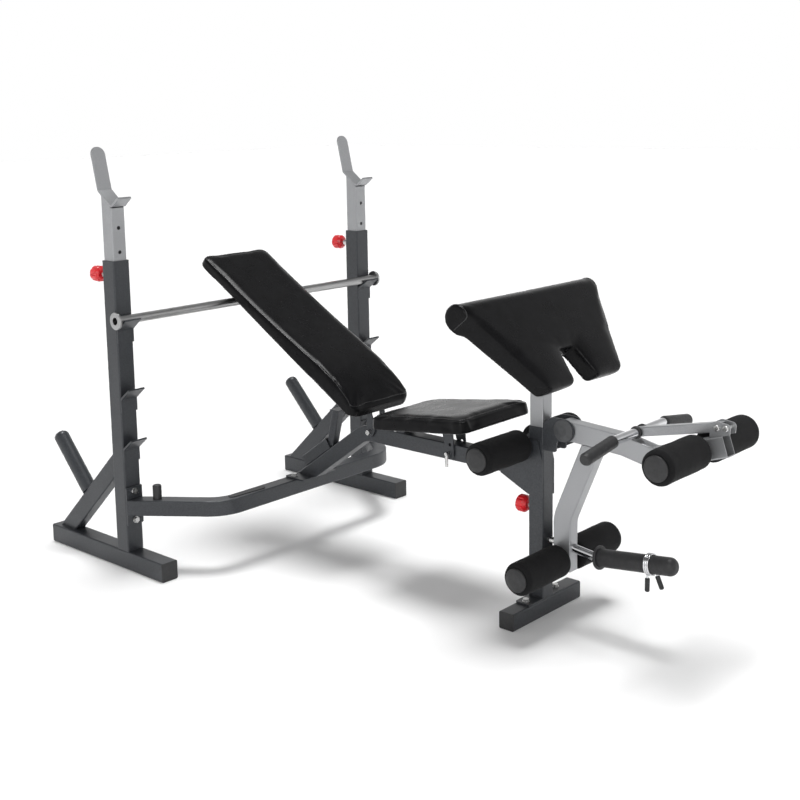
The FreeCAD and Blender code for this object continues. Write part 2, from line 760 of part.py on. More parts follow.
def build_front():
    base_z = post_tube + leg_base_plate
    post = straight_tube("post_tube_raw", post_tube, post_tube, post_wall, post_corner, post_top - base_z)
    place(post, post_x, 0, base_z)
    way = cylinder("post_pin_way", pin_radius + 0.5, tube)
    place(way, post_x - tube, 0, post_knob_z, ALONG_Y, 90)
    keep("front_post", cut("front_post_drilled", post, way))
    foot = straight_tube("front_foot", post_tube, post_tube, post_wall, post_corner,
                         2 * (front_foot_half - cap))
    place(foot, post_x, cap - front_foot_half, half_post, ALONG_X, -90)
    keep("front_foot", foot)

    def end_cap(name, side, wall):
        """A pushed-in plastic end cap: a face that covers the tube's end and a plug inside it."""
        owner = slab(name, "XY", [
            (x * side / 2, y * side / 2, 5) for x, y in ((-1, -1), (1, -1), (1, 1), (-1, 1))],
            cap, centred=False)
        inner = side / 2 - wall - 0.1
        plug = slab(name + "_plug", "XY", [
            (x * inner, y * inner, 3) for x, y in ((-1, -1), (1, -1), (1, 1), (-1, 1))],
            cap_plug, centred=False)
        plug.Placement = Placement(Vector(0, 0, -cap_plug.value), Rotation())
        plug.setExpression("Placement.Base.z", (-cap_plug).text)
        return fuse(name + "_whole", owner, plug)

    caps = []
    for number, (x, turn) in enumerate(((cap - foot_rear, -90), (foot_front - cap, 90))):
        rack_cap = end_cap(f"rack_cap_{number}", tube, tube_wall)
        place(rack_cap, x, -rack_y, half_tube, ALONG_Y, turn)
        caps += [rack_cap, mirrored(f"rack_cap_twin_{number}", rack_cap)]
    front_cap = end_cap("front_cap", post_tube, post_wall)
    place(front_cap, post_x, cap - front_foot_half, half_post, ALONG_X, 90)
    group("foot_end_caps", *caps, front_cap, mirrored("front_cap_twin", front_cap))


def build_pivot():
    reach = pivot_x - post_x - half_post
    radius = ear_radius
    side = slab("pivot_ear", "XZ", [
        (-reach, -65), (-25, -65, 6), (-22, -radius, 8), (radius, -radius, radius * 0.98),
        (radius, radius, radius * 0.98), (-38, radius, 30), (-reach, 12)], ear,
        holes=[(0, 0, pivot_radius)])
    place(side, pivot_x, -(lever_width / 2 + 1 + ear / 2), pivot_z)
    pair("pivot_ears", side)

    half = lever_width / 2 + 1 + ear
    pin = cylinder("lever_pivot_pin", pivot_radius, 2 * (half + 2))
    place(pin, pivot_x, half + 2, pivot_z, ALONG_X, 90)
    back_pin = cylinder("backrest_hinge_pin", pivot_radius, 84)
    place(back_pin, hinge_x, 42, hinge_z, ALONG_X, 90)
    seat_pin = cylinder("seat_hinge_rod", pivot_radius, 92)
    place(seat_pin, seat_hinge_x, 46, seat_hinge_z, ALONG_X, 90)
    group("hinge_pins", pin, back_pin, seat_pin)

    disc = turned("pivot_cover", [
        (pivot_radius + 0.05, 0), (ear_radius - 2, 0), (ear_radius - 2, 3, 2), (14, 6), (0, 6), (0, 2.5),
        (pivot_radius + 0.05, 2.5)])
    place(disc, pivot_x, -half, pivot_z, ALONG_X, 90)
    pair("pivot_covers", disc)


# ---- rollers -----------------------------------------------------------------------------------------


def build_rollers():
    """Three pairs of foam rollers: on the post, at the foot of the lever and at its front."""
    stations = {"hold": (hold_x, hold_z), "lower": (lower_x, lower_z), "forward": (forward_x, forward_z)}
    axles, caps = {}, {}
    for name, (x, z) in stations.items():
        axle = turned(f"{name}_axle_tube", [
            (axle_radius - 2, -foam_outer), (axle_radius, -foam_outer), (axle_radius, foam_outer),
            (axle_radius - 2, foam_outer)])
        place(axle, x, 0, z, ALONG_X, 90)
        axles[name] = axle
        end = turned(f"{name}_cap", [
            (0, -18), (axle_radius - 2.1, -18), (axle_radius - 2.1, 0), (axle_radius + 0.5, 0), (33, 0.5),
            (33, 5, 3), (20, 9, 20), (0, 9.5)])
        place(end, x, -foam_outer, z, ALONG_X, 90)
        caps[name] = [end, mirrored(f"{name}_cap_twin", end)]
        foam = turned(f"{name}_foam", [
            (axle_radius + skin_gap, 0), (foam_end, 0, 3), (foam_radius, 9, 9),
            (foam_radius, foam_outer - foam_inner - 9, 9), (foam_end, foam_outer - foam_inner, 3),
            (axle_radius + skin_gap, foam_outer - foam_inner)])
        place(foam, x, -foam_inner, z, ALONG_X, 90)
        keep(f"{name}_foam_right", foam)
        keep(f"{name}_foam_left", mirrored(f"{name}_foam_left", foam))
    keep("hold_axle", axles["hold"])
    group("lever_axles", axles["lower"], axles["forward"])
    group("hold_roller_caps", *caps["hold"])
    group("lever_roller_caps", *caps["lower"], *caps["forward"])


# ---- backrest and seat -------------------------------------------------------------------------------


def soft_slab(name, length, half_front, half_back, thickness, corner, edge):
    """A plain cushion: a tapered, round-cornered slab that runs along its own -X from the origin."""
    owner = slab(name, "XY", [
        (0, -half_front, corner), (0, half_front, corner), (-length, half_back, corner),
        (-length, -half_back, corner)], thickness, centred=False)
    doc.recompute()
    solid = owner.Tip
    flat = [f"Face{i + 1}" for i, f in enumerate(solid.Shape.Faces) if abs(f.normalAt(0, 0).z) > 0.99]
    rounding = owner.newObject("PartDesign::Fillet", name + "_edges")
    rounding.Base = (solid, flat)
    bind(rounding, "Radius", edge)
    return owner


def build_backrest():
    pad_body = soft_slab("back_cushion", back_high - back_low, back_half - 8, back_half, back_pad, 38, 14)
    place(pad_body, hinge_x - back_low * cos(back_tilt) + back_under * sin(back_tilt), 0,
          hinge_z + back_low * sin(back_tilt) + back_under * cos(back_tilt), ALONG_Y, back_tilt)
    keep("backrest_pad", pad_body)

    def on_back(obj, along, y, up):
        """Puts a piece in the backrest's own frame: along it from the hinge, and up from the hinge."""
        return place(obj, hinge_x + along * cos(back_tilt) + up * sin(back_tilt), y,
                     hinge_z - along * sin(back_tilt) + up * cos(back_tilt), ALONG_Y, back_tilt)

    rail_width = 30
    low = bar_on_back() + bar_radius + skin_gap
    rail = block("back_rail", 700, rail_width, back_under - low - 0.2)
    on_back(rail, as_dim(-760), -31 - rail_width, low)
    lug = slab("back_lug", "XZ", [
        (-170, low + 2), (-40, low + 2), (-16, 0, 4), (-16, -16, 15.5), (16, -16, 15.5), (16, 16, 15.5),
        (-30, back_under - 0.2), (-170, back_under - 0.2)], 5,
        holes=[(0, 0, pivot_radius + 0.05)])
    on_back(lug, as_dim(0), -28.5, as_dim(0))
    pieces = [rail, lug]
    pieces += [mirrored(f"{p.Name}_twin", p) for p in list(pieces)]
    for number, along in enumerate((-750, -215)):
        tie = block(f"back_tie_{number}", 44, 2 * 31, back_under - low - 0.2)
        on_back(tie, as_dim(along), -31, low)
        pieces.append(tie)
    group("backrest_frame", *pieces)


def build_seat():
    rise = 18
    rear = 15

    def on_seat(obj, along, y, up):
        """Puts a piece in the seat's own frame, counted from its hinge."""
        return place(obj, seat_hinge_x + along * cos(seat_tilt) - up * sin(seat_tilt), y,
                     seat_hinge_z + along * sin(seat_tilt) + up * cos(seat_tilt), ALONG_Y, -seat_tilt)

    cushion = soft_slab("seat_cushion", seat_length, seat_half, seat_half - 20, seat_pad, 42, 14)
    on_seat(cushion, seat_length - rear, 0, as_dim(rise))
    keep("seat_pad", cushion)
    tray = block("seat_tray", 300, 200, 4)
    on_seat(tray, as_dim(20), -100, as_dim(rise - 4.2))
    pieces = [tray]
    # The fork's lower hole locks the raised seat, and the upper one locks it level.
    lock_dx, lock_dz = seat_lock_x - seat_hinge_x, seat_lock_z - seat_hinge_z
    low_hole = (lock_dx * cos(seat_tilt) + lock_dz * sin(seat_tilt),
                lock_dz * cos(seat_tilt) - lock_dx * sin(seat_tilt))
    high_hole = (lock_dx, lock_dz)
    for side in (-1, 1):
        lug = slab(f"seat_lug_{side + 1}", "XZ", [
            (-13, -13, 12.9), (13, -13, 12.9), (30, rise - 1), (-13, rise - 1)], 5,
            holes=[(0, 0, pivot_radius + 0.05)])
        on_seat(lug, as_dim(0), side * 25.2, as_dim(0))
        fork = slab(f"seat_fork_{side + 1}", "XZ", [
            (-24, 0, 1), (20, 0, 1), (14, -100, 12), (-12, -100, 12)], 4,
            holes=[(x - 198, z - rise + 2, pin_radius + 0.05) for x, z in (low_hole, high_hole)])
        on_seat(fork, as_dim(198), side * 28.5, as_dim(rise - 2))
        pieces += [lug, fork]
    keep("seat_frame", fuse("seat_frame_whole", *pieces))

    # An L-shaped locking pin goes through the near side of the fork.
    shank = cylinder("seat_lock_shank", pin_radius, 20)
    place(shank, seat_lock_x, -26, seat_lock_z, ALONG_X, 90)
    hang = cylinder("seat_lock_hang", pin_radius, 38)
    place(hang, seat_lock_x, -41, seat_lock_z, ALONG_X, 180)
    keep("seat_lock_pin", fuse("seat_lock_whole", shank, hang))


# ---- preacher pad ------------------------------------------------------------------------------------


def build_curl_pad():
    under = 23.6
    top = 31.4
    length = 296
    side_view = slab("curl_pad_side", "XZ", [
        (-curl_roll, -curl_roll, curl_roll * 0.97), (-curl_roll, curl_roll, curl_roll * 0.97),
        (curl_roll * 0.9, curl_roll, 40), (length, top, 14), (length - 16, -under, 14),
        (curl_roll * 1.1, -under, 20), (curl_roll * 0.9, -curl_roll, 20)], 800)
    throat = 36
    plan = slab("curl_pad_plan", "XY", [
        (-60, -curl_half), (12, -curl_half, 30), (length, -178, 40), (length, -60, 26),
        (186, -throat, 12), (186, throat, 12), (length, 60, 26), (length, 178, 40),
        (12, curl_half, 30), (-60, curl_half)], 200)
    for piece in (side_view, plan):
        place(piece, curl_x, 0, curl_z, ALONG_Y, curl_tilt)
    cushion = doc.addObject("Part::MultiCommon", "curl_pad_whole")
    cushion.Shapes = [side_view, plan]
    keep("curl_pad", cushion)

    inside = 300
    rise = curl_z - (post_x - curl_x) * sin(curl_tilt) / cos(curl_tilt) - 60 - (post_knob_z - 60)
    post = straight_tube("curl_post_tube", curl_tube, curl_tube, post_wall, post_corner, rise + inside)
    place(post, post_x, 0, post_knob_z - 60)
    above = block("curl_post_trim", 600, 200, 400)
    place(above, curl_x - under * sin(curl_tilt) - 150 * cos(curl_tilt) - 4 * sin(curl_tilt), -100,
          curl_z - under * cos(curl_tilt) + 150 * sin(curl_tilt) - 4 * cos(curl_tilt), ALONG_Y, curl_tilt)
    plate = block("curl_pad_plate", 120, 180, 4)
    along = 52
    drop = under + 4.2
    place(plate, curl_x + along * cos(curl_tilt) - drop * sin(curl_tilt), -90,
          curl_z - along * sin(curl_tilt) - drop * cos(curl_tilt), ALONG_Y, curl_tilt)
    holes = []
    for step in range(3):
        hole = cylinder(f"curl_post_hole_{step}", hole_radius, 2 * tube)
        place(hole, post_x - tube, 0, post_knob_z + step * hole_pitch, ALONG_Y, 90)
        holes.append(hole)
    keep("curl_post", fuse("curl_post_whole", cut("curl_post_cut", post, above, *holes), plate))


# ---- leg lever ---------------------------------------------------------------------------------------


def build_lever():
    first_tilt, second_tilt, third_tilt = 3.5, 12, -18.6

    def draw(sketch):
        section(sketch, lever_width, lever_depth, post_wall, post_corner)

    arm = bent_tube("lever_upper_tube", "XZ", [
        (180, 0), (97, -(second_tilt - first_tilt)), (212, second_tilt - third_tilt)], 60, draw)
    place(arm, pivot_x, 0, pivot_z, ALONG_Y, first_tilt)
    boss = cylinder("lever_boss", ear_radius - 4, lever_width)
    place(boss, pivot_x, lever_width / 2, pivot_z, ALONG_X, 90)
    bore = cylinder("lever_bore", pivot_radius + 4, 100)
    place(bore, pivot_x, 50, pivot_z, ALONG_X, 90)
    forward_way = cylinder("forward_axle_way", axle_radius, 100)
    place(forward_way, forward_x, 50, forward_z, ALONG_X, 90)
    ears = []
    for side in (-1, 1):
        plate = slab(f"clevis_ear_{side + 1}", "XZ", [
            (-20, -30), (34, -14), (36, 12, 10), (-4, 17, 14), (-20, 8, 8)], 4,
            holes=[(0, 0, 5), (clevis_second[0], clevis_second[1], 5)])
        place(plate, clevis_x, side * (curl_arm_tube / 2 + 0.5 + 2), clevis_z)
        ears.append(plate)
    whole = fuse("lever_upper_whole", arm, boss, *ears)
    keep("lever_upper_arm", cut("lever_upper_bored", whole, bore, forward_way))

    bush = turned("lever_bush", [
        (pivot_radius + 0.05, -lever_width / 2), (pivot_radius + 4, -lever_width / 2),
        (pivot_radius + 4, lever_width / 2), (pivot_radius + 0.05, lever_width / 2)])
    place(bush, pivot_x, 0, pivot_z, ALONG_X, 90)
    keep("lever_bushing", bush)

    drop = size("lever_drop", 151)
    leg = bent_tube("lever_lower_tube", "XZ", [(drop, 0), (250, -22.7)], 100, draw)
    place(leg, lower_x + 1, 0, lower_z - 33, ALONG_Y, -90)
    envelope = block("lever_upper_envelope", 300, 100, lever_depth)
    side_x = lever_depth / 2 * sin(first_tilt)
    side_z = lever_depth / 2 * cos(first_tilt)
    place(envelope, pivot_x - side_x, -50, pivot_z - side_z, ALONG_Y, first_tilt)
    over = block("lever_upper_over", 400, 100, 200)
    place(over, pivot_x + side_x - 50, -50, pivot_z + side_z, ALONG_Y, first_tilt)
    lower_way = cylinder("lower_axle_way", axle_radius, 100)
    place(lower_way, lower_x, 50, lower_z, ALONG_X, 90)
    root, root_fall, straight_before = 96, 7, 8
    root_x = horn_x - straight_before * cos(horn_tilt) - root * cos(root_fall)
    root_z = horn_z - straight_before * sin(horn_tilt) + root * sin(root_fall)
    horn_way = cylinder("horn_way", curl_bar_radius + 0.05, 120)
    place(horn_way, root_x - 20 * cos(root_fall), 0, root_z + 20 * sin(root_fall), ALONG_Y, 90 + root_fall)
    keep("lever_lower_arm", cut("lever_lower_cut", leg, envelope, over, lower_way, horn_way))

    def round_section(sketch):
        circle(sketch, 0, 0, curl_bar_radius)
        circle(sketch, 0, 0, curl_bar_radius - 2)

    horn = bent_tube("weight_horn_tube", "XZ", [(root, 0), (horn_length, root_fall + horn_tilt)], 45,
                     round_section)
    place(horn, root_x, 0, root_z, ALONG_Y, root_fall)
    keep("weight_horn", horn)
    sleeve = turned("horn_sleeve_turned", [
        (curl_bar_radius + 0.05, 0), (33, 0, 2), (33, 8, 2), (plate_radius, 8),
        (plate_radius, horn_length + 12, 21), (0, horn_length + 12), (0, horn_length + 4),
        (curl_bar_radius + 0.05, horn_length + 4)])
    place(sleeve, horn_x, 0, horn_z, ALONG_Y, 90 - horn_tilt)
    keep("horn_sleeve", sleeve)

    def on_horn(obj, along, y, up, axis=ALONG_Y, turn=0):
        """Puts a piece on the sleeve's centre line, counted from the flange."""
        return place(obj, horn_x + along * cos(horn_tilt) - up * sin(horn_tilt), y,
                     horn_z + along * sin(horn_tilt) + up * cos(horn_tilt), axis, turn)

    wire = 2.6
    station = 158
    coil_pitch = 2 * wire + 0.1
    coil_radius = plate_radius + wire + skin_gap
    leg_y = 13
    leg_up = -math.sqrt(coil_radius.value ** 2 - leg_y ** 2)
    coils, grips = [], []
    for number, lean in enumerate((0, 12, 24)):
        along = as_dim(station + number * coil_pitch)
        ring = doc.addObject("Part::Torus", f"collar_ring_{number}")
        bind(ring, "Radius1", coil_radius)
        ring.Radius2 = wire
        on_horn(ring, along, 0, as_dim(0), ALONG_Y, 90 - horn_tilt)
        if number == 1:
            coils.append(ring)
            continue
        side = number - 1
        leg_rod = cylinder(f"collar_leg_{number}", wire, 40)
        on_horn(leg_rod, along, side * leg_y, as_dim(leg_up), ALONG_Y, 180 - lean)
        grip = turned(f"collar_grip_{number}", [
            (wire + 0.02, 10), (6.5, 10, 2), (6.5, 48, 5), (0, 48), (0, 40.1), (wire + 0.02, 40.1)])
        on_horn(grip, along, side * leg_y, as_dim(leg_up), ALONG_Y, 180 - lean)
        coils.append(fuse(f"collar_end_{number}", ring, leg_rod))
        grips.append(grip)
    group("spring_collar", *coils)
    group("spring_collar_grips", *grips)


def build_curl_arm():
    """The curl bar on its arm, hinged to a clevis on the front end of the lever."""
    half = curl_arm_tube / 2
    bolts = []
    for number, (dx, dz) in enumerate(((0, 0), clevis_second)):
        bolt = turned(f"clevis_bolt_{number}", [
            (0, -23), (8, -23, 3), (8, -17), (5, -17), (5, 17), (8, 17), (8, 23, 3), (0, 23)])
        place(bolt, clevis_x + dx, 0, clevis_z + dz, ALONG_X, 90)
        bolts.append(bolt)
    group("clevis_bolts", *bolts)

    arm = straight_tube("curl_arm_square", curl_arm_tube, curl_arm_tube, post_wall, 3, curl_arm_reach + 12)
    place(arm, clevis_x + 12 * cos(curl_arm_tilt), 0, clevis_z + 12 * sin(curl_arm_tilt),
          ALONG_Y, -(90 + curl_arm_tilt))
    hub_x = clevis_x - curl_arm_reach * cos(curl_arm_tilt)
    hub_z = clevis_z - curl_arm_reach * sin(curl_arm_tilt)
    pin_way = cylinder("curl_arm_pin_way", 5.05, 100)
    place(pin_way, clevis_x, 50, clevis_z, ALONG_X, 90)
    bar_way = cylinder("curl_arm_bar_way", curl_bar_radius, 100)
    place(bar_way, hub_x, 50, hub_z, ALONG_X, 90)
    keep("curl_arm", cut("curl_arm_cut", arm, pin_way, bar_way))

    grip_run, centre_half = 136, 122

    def round_section(sketch):
        circle(sketch, 0, 0, curl_bar_radius)
        circle(sketch, 0, 0, curl_bar_radius - 2)

    bar = bent_tube("curl_bar_tube", "XZ", [
        (grip_run, 0), (2 * centre_half, -grip_droop), (grip_run, -grip_droop)], 40, round_section)
    bar.Placement.Base = Vector(0, 0, 0)
    place(bar, hub_x, -(centre_half + grip_run * cos(grip_droop)), hub_z - grip_run * sin(grip_droop))
    bar.setExpression("Placement.Rotation.Angle", None)
    bar.Placement.Rotation = Rotation(UP, 90) * Rotation(ALONG_Y, -grip_droop.value)
    keep("curl_bar", bar)
    grip = turned("curl_grip", [
        (curl_bar_radius + 0.02, 4), (16, 4, 2), (17, 8, 2), (17, 132, 2), (13, 140, 2), (0, 140), (0, 136.2),
        (curl_bar_radius + 0.02, 136.2)])
    place(grip, hub_x, -centre_half, hub_z)
    grip.setExpression("Placement.Rotation.Angle", None)
    grip.Placement.Rotation = Rotation(ALONG_X, 90 + grip_droop.value)
    collar = turned("curl_hub_collar", [
        (curl_bar_radius + 0.02, 0), (17, 0, 1), (17, 8, 3), (curl_bar_radius + 0.02, 8)])
    place(collar, hub_x, -half, hub_z, ALONG_X, 90)
    group("curl_bar_grips", grip, mirrored("curl_grip_twin", grip), collar,
          mirrored("curl_hub_collar_twin", collar))


# ---- write the parts ---------------------------------------------------------------------------------


def write_parts():
    doc.recompute()
    bad = [o.Name for o in doc.Objects if "Invalid" in o.State or "Error" in o.State]
    if bad:
        raise RuntimeError(f"features that failed: {bad}")
    for name, obj in nodes.items():
        if obj.Shape.isNull() or not obj.Shape.isValid() or not obj.Shape.Solids:
            raise RuntimeError(f"{name} has no valid solid")
    os.makedirs("parts", exist_ok=True)
    for name, obj in nodes.items():
        obj.Shape.exportStep(f"parts/{name}.step")
    print(len(nodes), "sub-parts written")


build_rack()
build_spotter_hooks()
build_hook_posts()
build_pull_pins()
build_support_bar()
build_crossmember()
build_beam()
build_front()
build_pivot()
build_rollers()
build_backrest()
build_seat()
build_curl_pad()
build_lever()
build_curl_arm()
write_parts()
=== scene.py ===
import json
import math

import bmesh
import bpy
import numpy as np
from mathutils import Matrix, Vector, noise


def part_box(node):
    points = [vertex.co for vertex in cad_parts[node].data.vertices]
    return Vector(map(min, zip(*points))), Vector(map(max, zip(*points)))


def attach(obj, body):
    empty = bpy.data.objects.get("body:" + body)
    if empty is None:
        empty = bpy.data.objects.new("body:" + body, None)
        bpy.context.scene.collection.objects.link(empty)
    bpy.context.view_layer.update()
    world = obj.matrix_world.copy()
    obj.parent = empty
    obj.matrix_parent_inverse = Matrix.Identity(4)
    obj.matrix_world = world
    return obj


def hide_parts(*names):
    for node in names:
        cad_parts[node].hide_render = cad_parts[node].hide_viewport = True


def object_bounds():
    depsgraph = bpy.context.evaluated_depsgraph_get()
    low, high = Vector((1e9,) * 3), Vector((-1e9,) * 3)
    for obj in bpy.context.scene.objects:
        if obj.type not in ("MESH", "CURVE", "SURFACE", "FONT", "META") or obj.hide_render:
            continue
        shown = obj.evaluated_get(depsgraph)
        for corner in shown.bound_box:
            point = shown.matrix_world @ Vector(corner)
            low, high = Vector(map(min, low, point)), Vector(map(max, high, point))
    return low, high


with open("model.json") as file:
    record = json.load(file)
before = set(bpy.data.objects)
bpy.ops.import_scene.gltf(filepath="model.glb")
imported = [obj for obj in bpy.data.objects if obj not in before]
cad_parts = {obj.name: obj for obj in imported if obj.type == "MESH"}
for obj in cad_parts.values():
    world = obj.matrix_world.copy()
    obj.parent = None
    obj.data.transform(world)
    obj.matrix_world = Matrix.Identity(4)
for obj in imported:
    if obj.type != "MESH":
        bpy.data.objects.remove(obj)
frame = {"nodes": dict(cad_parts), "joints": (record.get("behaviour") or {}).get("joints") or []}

# The looks of an Olympic weight bench: finishes for every metal and plastic piece, three stuffed
# cushions, six foam rollers, and a plain white studio. Everything is in metres, in the CAD frame.

cad_low, cad_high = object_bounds()
nodes = frame["nodes"]
scene = bpy.context.scene
MM = 0.001


# ---- shader helpers ----------------------------------------------------------------------------------

class Finish:
    """A procedural material under construction. Scales are in cycles per metre and depths in metres."""

    def __init__(self, name, **sockets):
        self.material = bpy.data.materials.new(name)
        self.material.use_nodes = True
        self.tree = self.material.node_tree
        self.shader = self.tree.nodes["Principled BSDF"]
        for socket, value in sockets.items():
            self.shader.inputs[socket.replace("_", " ")].default_value = value
        self.normal = None

    def node(self, kind, **settings):
        made = self.tree.nodes.new("ShaderNode" + kind)
        for name, value in settings.items():
            setattr(made, name, value)
        return made

    def link(self, output, target):
        self.tree.links.new(output, target)

    def position(self, stretch=(1, 1, 1)):
        """Where a point is on its piece, drawn out along the axes whose number is small."""
        where = self.node("TexCoord").outputs["Object"]
        mapping = self.node("Mapping")
        mapping.inputs["Scale"].default_value = stretch
        self.link(where, mapping.inputs["Vector"])
        return mapping.outputs["Vector"]

    def clouds(self, scale, detail=4, stretch=(1, 1, 1)):
        texture = self.node("TexNoise")
        texture.inputs["Scale"].default_value = scale
        texture.inputs["Detail"].default_value = detail
        self.link(self.position(stretch), texture.inputs["Vector"])
        return texture.outputs[0]

    def cells(self, scale, feature="F1"):
        texture = self.node("TexVoronoi", feature=feature)
        texture.inputs["Scale"].default_value = scale
        self.link(self.position(), texture.inputs["Vector"])
        return texture.outputs["Distance"]

    def colours(self, value, *stops):
        """A colour that runs through the stops, each a place from 0 to 1 and a colour."""
        ramp = self.node("ValToRGB")
        band = ramp.color_ramp
        while len(band.elements) < len(stops):
            band.elements.new(0.5)
        for element, (place, colour) in zip(band.elements, stops):
            element.position = place
            element.color = (*colour, 1)
        self.link(value, ramp.inputs["Fac"])
        self.link(ramp.outputs["Color"], self.shader.inputs["Base Color"])
        return self

    def rough(self, value, low, high):
        """A roughness that runs from low to high over the middle of the texture's range."""
        mapped = self.node("MapRange")
        for socket, number in (("From Min", 0.3), ("From Max", 0.7), ("To Min", low), ("To Max", high)):
            mapped.inputs[socket].default_value = number
        self.link(value, mapped.inputs["Value"])
        self.link(mapped.outputs["Result"], self.shader.inputs["Roughness"])
        return self

    def bump(self, value, depth):
        """Adds relief on top of the relief that is there already."""
        relief = self.node("Bump")
        relief.inputs["Strength"].default_value = 1
        relief.inputs["Distance"].default_value = depth
        self.link(value, relief.inputs["Height"])
        if self.normal is not None:
            self.link(self.normal, relief.inputs["Normal"])
        self.normal = relief.outputs["Normal"]
        self.link(self.normal, self.shader.inputs["Normal"])
        return self


def shade(colour, factor):
    return tuple(channel * factor for channel in colour)


# ---- finishes, one per material slot -----------------------------------------------------------------

def frame_paint():
    """Charcoal powder coat: satin, with a fine orange peel and a faint change of tone."""
    tone = (0.034, 0.037, 0.042)
    made = Finish("frame_paint", Metallic=0.25, Coat_Weight=0.12, Coat_Roughness=0.25)
    made.colours(made.clouds(260, 6), (0.35, shade(tone, 0.82)), (0.65, shade(tone, 1.2)))
    made.rough(made.clouds(9), 0.36, 0.47)
    return made.bump(made.clouds(700, 3), 0.05 * MM).bump(made.clouds(2200, 2), 0.02 * MM)


def silver_paint():
    """Silver-grey powder coat with a metal flake."""
    tone = (0.33, 0.335, 0.345)
    made = Finish("silver_paint", Metallic=0.65, Coat_Weight=0.1, Coat_Roughness=0.2)
    made.colours(made.clouds(900, 5), (0.35, shade(tone, 0.86)), (0.65, shade(tone, 1.12)))
    made.rough(made.clouds(12), 0.33, 0.42)
    return made.bump(made.clouds(800, 3), 0.04 * MM)


def bar_steel():
    """Drawn steel tube: fine lines along the bar, and a few dull patches from handling."""
    tone = (0.42, 0.42, 0.42)
    made = Finish("bar_steel", Metallic=1)
    lines = made.clouds(900, 3, stretch=(1, 0.02, 1))
    made.colours(made.clouds(14, 6, stretch=(1, 0.3, 1)), (0.3, shade(tone, 0.8)), (0.7, tone))
    made.rough(lines, 0.24, 0.4)
    return made.bump(lines, 0.02 * MM)


def zinc():
    """Bright zinc plating on the fasteners and pins, with cloudy grain."""
    made = Finish("zinc", Metallic=1)
    made.colours(made.cells(500), (0.1, (0.5, 0.51, 0.53)), (0.9, (0.62, 0.61, 0.58)))
    made.rough(made.clouds(120), 0.2, 0.36)
    return made.bump(made.clouds(1500), 0.02 * MM)


def chrome():
    """Chrome plating, mirror bright apart from faint smears."""
    made = Finish("chrome", Metallic=1)
    made.colours(made.clouds(30), (0.3, (0.66, 0.67, 0.69)), (0.7, (0.74, 0.74, 0.75)))
    made.rough(made.clouds(45, 5), 0.05, 0.15)
    return made.bump(made.clouds(60), 0.02 * MM)


def red_plastic():
    """Glossy red moulded plastic."""
    made = Finish("red_plastic", Coat_Weight=0.25, Coat_Roughness=0.12)
    made.colours(made.clouds(60), (0.3, (0.62, 0.008, 0.014)), (0.7, (0.74, 0.014, 0.022)))
    made.rough(made.clouds(200), 0.26, 0.36)
    return made.bump(made.clouds(900, 2), 0.02 * MM)


def black_plastic():
    """Black moulded plastic with a spark-eroded texture."""
    tone = (0.014, 0.014, 0.015)
    made = Finish("black_plastic")
    made.colours(made.clouds(90), (0.3, shade(tone, 0.8)), (0.7, shade(tone, 1.3)))
    made.rough(made.clouds(300), 0.42, 0.56)
    return made.bump(made.clouds(1300, 3), 0.05 * MM)


def grey_plastic():
    """Charcoal nylon on the bushings and covers."""
    tone = (0.05, 0.052, 0.055)
    made = Finish("grey_plastic")
    made.colours(made.clouds(90), (0.3, shade(tone, 0.85)), (0.7, shade(tone, 1.15)))
    made.rough(made.clouds(300), 0.4, 0.52)
    return made.bump(made.clouds(1300, 3), 0.04 * MM)


def vinyl():
    """Black upholstery vinyl: a leather grain of small cells, softer where it is stretched."""
    tone = (0.0045, 0.0045, 0.005)
    made = Finish("vinyl", Specular_IOR_Level=0.12)
    made.colours(made.clouds(24, 5), (0.3, shade(tone, 0.8)), (0.7, shade(tone, 1.35)))
    made.rough(made.clouds(18, 3), 0.25, 0.32)
    made.bump(made.cells(620, "SMOOTH_F1"), 0.1 * MM)
    return made.bump(made.clouds(45, 3), 0.1 * MM)


def foam():
    """Closed-cell foam rubber: matt, pitted, and a little lumpy."""
    tone = (0.006, 0.006, 0.0065)
    made = Finish("foam", Specular_IOR_Level=0.15, Sheen_Weight=0.02, Sheen_Roughness=0.6)
    made.colours(made.clouds(700, 6), (0.3, shade(tone, 0.6)), (0.7, shade(tone, 1.7)))
    made.rough(made.clouds(500), 0.8, 0.95)
    made.bump(made.cells(900), 0.4 * MM)
    return made.bump(made.clouds(260, 5), 0.6 * MM)


def grip_rubber():
    """Black handle rubber with a dull skin."""
    tone = (0.014, 0.014, 0.015)
    made = Finish("grip_rubber")
    made.colours(made.clouds(70), (0.3, shade(tone, 0.8)), (0.7, shade(tone, 1.4)))
    made.rough(made.clouds(150), 0.46, 0.6)
    return made.bump(made.clouds(1100, 4), 0.08 * MM)


def thread():
    """Black nylon sewing thread and piping."""
    made = Finish("thread")
    made.colours(made.clouds(900), (0.3, (0.006, 0.006, 0.007)), (0.7, (0.014, 0.014, 0.015)))
    made.rough(made.clouds(900), 0.2, 0.3)
    return made.bump(made.clouds(1800), 0.04 * MM)


FINISHES = {maker.__name__: maker().material for maker in (
    frame_paint, silver_paint, bar_steel, zinc, chrome, red_plastic, black_plastic, grey_plastic,
    vinyl, foam, grip_rubber)}
THREAD = thread().material

for piece in nodes.values():
    for held in piece.material_slots:
        held.material = FINISHES[held.material.name.split(".")[0]]


# ---- shared making of pieces -------------------------------------------------------------------------

def add_object(name, data, place=None):
    made = bpy.data.objects.new(name, data)
    scene.collection.objects.link(made)
    if place is not None:
        made.matrix_world = place
    return made


def smooth_all(mesh):
    mesh.polygons.foreach_set("use_smooth", [True] * len(mesh.polygons))
    mesh.update()


def subdivide(piece, levels=1):
    rounding = piece.modifiers.new("round", "SUBSURF")
    rounding.levels = rounding.render_levels = levels


